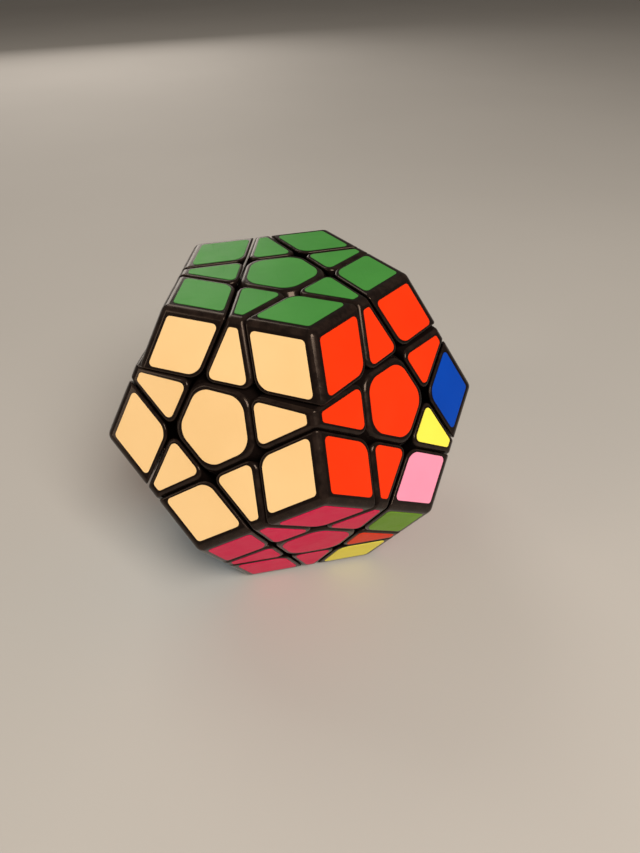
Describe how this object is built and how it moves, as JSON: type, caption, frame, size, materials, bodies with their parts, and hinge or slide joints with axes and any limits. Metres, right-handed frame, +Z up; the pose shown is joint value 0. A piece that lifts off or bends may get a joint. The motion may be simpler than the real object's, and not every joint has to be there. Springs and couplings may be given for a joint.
{
  "type": "dodecahedron twisty puzzle",
  "caption": "Dodecahedral twisty puzzle: sprung turning faces of corner, edge and centre pieces held by their feet round a ball core, resting on one face.",
  "frame": {"origin": "middle of the lime face that the puzzle rests on, which is the bottom centre of its box", "axes": "+Z up through the green face, -Y out of the front towards the crimson face, +X to the right"},
  "size_m": [0.0804, 0.0846, 0.069],
  "materials": {
    "black_plastic": "moulded black ABS, glossy, rubbed dull along the edges",
    "core_plastic": "moulded, off-white",
    "plated_steel": "zinc plated",
    "spring_steel": "drawn wire",
    "sticker_green": "self-adhesive vinyl, satin",
    "sticker_cream": "self-adhesive vinyl, satin",
    "sticker_red": "self-adhesive vinyl, satin",
    "sticker_blue": "self-adhesive vinyl, satin",
    "sticker_white": "self-adhesive vinyl, satin",
    "sticker_grey": "self-adhesive vinyl, satin",
    "sticker_crimson": "self-adhesive vinyl, satin",
    "sticker_pink": "self-adhesive vinyl, satin",
    "sticker_yellow": "self-adhesive vinyl, satin",
    "sticker_orange": "self-adhesive vinyl, satin",
    "sticker_sky": "self-adhesive vinyl, satin",
    "sticker_lime": "self-adhesive vinyl, satin"
  },
  "bodies": {
    "core": {"core_upper_half": "core_plastic", "core_lower_half": "core_plastic", "tension_screws": "plated_steel", "spring_washers": "plated_steel", "tension_springs": "spring_steel", "upper_belt_edges": "black_plastic", "middle_belt_edges": "black_plastic", "lower_belt_edges": "black_plastic", "corner_cream_red_crimson": "black_plastic", "corner_cream_grey_sky": "black_plastic", "corner_cream_crimson_sky": "black_plastic", "corner_blue_white_yellow": "black_plastic", "corner_crimson_sky_lime": "black_plastic"},
    "green_layer": {"green_layer_edges": "black_plastic", "corner_green_cream_red": "black_plastic", "corner_green_cream_grey": "black_plastic", "corner_green_red_blue": "black_plastic", "corner_green_blue_white": "black_plastic", "corner_green_white_grey": "black_plastic"},
    "pink_layer": {"pink_layer_edges": "black_plastic", "corner_red_blue_pink": "black_plastic", "corner_pink_yellow_lime": "black_plastic", "corner_crimson_pink_lime": "black_plastic", "corner_blue_pink_yellow": "black_plastic", "corner_red_crimson_pink": "black_plastic"},
    "orange_layer": {"orange_layer_edges": "black_plastic", "corner_white_grey_orange": "black_plastic", "corner_white_yellow_orange": "black_plastic", "corner_grey_orange_sky": "black_plastic", "corner_yellow_orange_lime": "black_plastic", "corner_orange_sky_lime": "black_plastic"},
    "green_centre": {"green_centre_base": "black_plastic", "green_centre_cap": "black_plastic"},
    "cream_centre": {"cream_centre_base": "black_plastic", "cream_centre_cap": "black_plastic"},
    "red_centre": {"red_centre_base": "black_plastic", "red_centre_cap": "black_plastic"},
    "blue_centre": {"blue_centre_base": "black_plastic", "blue_centre_cap": "black_plastic"},
    "white_centre": {"white_centre_base": "black_plastic", "white_centre_cap": "black_plastic"},
    "grey_centre": {"grey_centre_base": "black_plastic", "grey_centre_cap": "black_plastic"},
    "crimson_centre": {"crimson_centre_base": "black_plastic", "crimson_centre_cap": "black_plastic"},
    "pink_centre": {"pink_centre_base": "black_plastic", "pink_centre_cap": "black_plastic"},
    "yellow_centre": {"yellow_centre_base": "black_plastic", "yellow_centre_cap": "black_plastic"},
    "orange_centre": {"orange_centre_base": "black_plastic", "orange_centre_cap": "black_plastic"},
    "sky_centre": {"sky_centre_base": "black_plastic", "sky_centre_cap": "black_plastic"},
    "lime_centre": {"lime_centre_base": "black_plastic", "lime_centre_cap": "black_plastic"}
  },
  "joints": [
    {"name": "green_layer_turn", "type": "hinge", "parent": "core", "child": "green_layer", "pos_m": [0, 0, 0.03452], "axis": [0, 0, 1], "continuous": true},
    {"name": "pink_layer_turn", "type": "hinge", "parent": "core", "child": "pink_layer", "pos_m": [0, 0, 0.03452], "axis": [0.8507, -0.2764, -0.4472], "continuous": true},
    {"name": "orange_layer_turn", "type": "hinge", "parent": "core", "child": "orange_layer", "pos_m": [0, 0, 0.03452], "axis": [-0.5257, 0.7236, -0.4472], "continuous": true},
    {"name": "green_centre_spring", "type": "slide", "parent": "green_layer", "child": "green_centre", "axis": [0, 0, 1], "range_m": [0, 0.00075], "stiffness_N_per_m": 800, "springref_m": -0.004, "deforming": ["tension_springs"]},
    {"name": "cream_centre_spring", "type": "slide", "parent": "core", "child": "cream_centre", "axis": [-0.5257, -0.7236, 0.4472], "range_m": [0, 0.00075], "stiffness_N_per_m": 800, "springref_m": -0.004, "deforming": ["tension_springs"]},
    {"name": "red_centre_spring", "type": "slide", "parent": "core", "child": "red_centre", "axis": [0.5257, -0.7236, 0.4472], "range_m": [0, 0.00075], "stiffness_N_per_m": 800, "springref_m": -0.004, "deforming": ["tension_springs"]},
    {"name": "blue_centre_spring", "type": "slide", "parent": "core", "child": "blue_centre", "axis": [0.8507, 0.2764, 0.4472], "range_m": [0, 0.00075], "stiffness_N_per_m": 800, "springref_m": -0.004, "deforming": ["tension_springs"]},
    {"name": "white_centre_spring", "type": "slide", "parent": "core", "child": "white_centre", "axis": [0, 0.8944, 0.4472], "range_m": [0, 0.00075], "stiffness_N_per_m": 800, "springref_m": -0.004, "deforming": ["tension_springs"]},
    {"name": "grey_centre_spring", "type": "slide", "parent": "core", "child": "grey_centre", "axis": [-0.8507, 0.2764, 0.4472], "range_m": [0, 0.00075], "stiffness_N_per_m": 800, "springref_m": -0.004, "deforming": ["tension_springs"]},
    {"name": "crimson_centre_spring", "type": "slide", "parent": "core", "child": "crimson_centre", "axis": [0, -0.8944, -0.4472], "range_m": [0, 0.00075], "stiffness_N_per_m": 800, "springref_m": -0.004, "deforming": ["tension_springs"]},
    {"name": "pink_centre_spring", "type": "slide", "parent": "pink_layer", "child": "pink_centre", "axis": [0.8507, -0.2764, -0.4472], "range_m": [0, 0.00075], "stiffness_N_per_m": 800, "springref_m": -0.004, "deforming": ["tension_springs"]},
    {"name": "yellow_centre_spring", "type": "slide", "parent": "core", "child": "yellow_centre", "axis": [0.5257, 0.7236, -0.4472], "range_m": [0, 0.00075], "stiffness_N_per_m": 800, "springref_m": -0.004, "deforming": ["tension_springs"]},
    {"name": "orange_centre_spring", "type": "slide", "parent": "orange_layer", "child": "orange_centre", "axis": [-0.5257, 0.7236, -0.4472], "range_m": [0, 0.00075], "stiffness_N_per_m": 800, "springref_m": -0.004, "deforming": ["tension_springs"]},
    {"name": "sky_centre_spring", "type": "slide", "parent": "core", "child": "sky_centre", "axis": [-0.8507, -0.2764, -0.4472], "range_m": [0, 0.00075], "stiffness_N_per_m": 800, "springref_m": -0.004, "deforming": ["tension_springs"]},
    {"name": "lime_centre_spring", "type": "slide", "parent": "core", "child": "lime_centre", "axis": [0, 0, -1], "range_m": [0, 0.00075], "stiffness_N_per_m": 800, "springref_m": -0.004, "deforming": ["tension_springs"]}
  ]
}
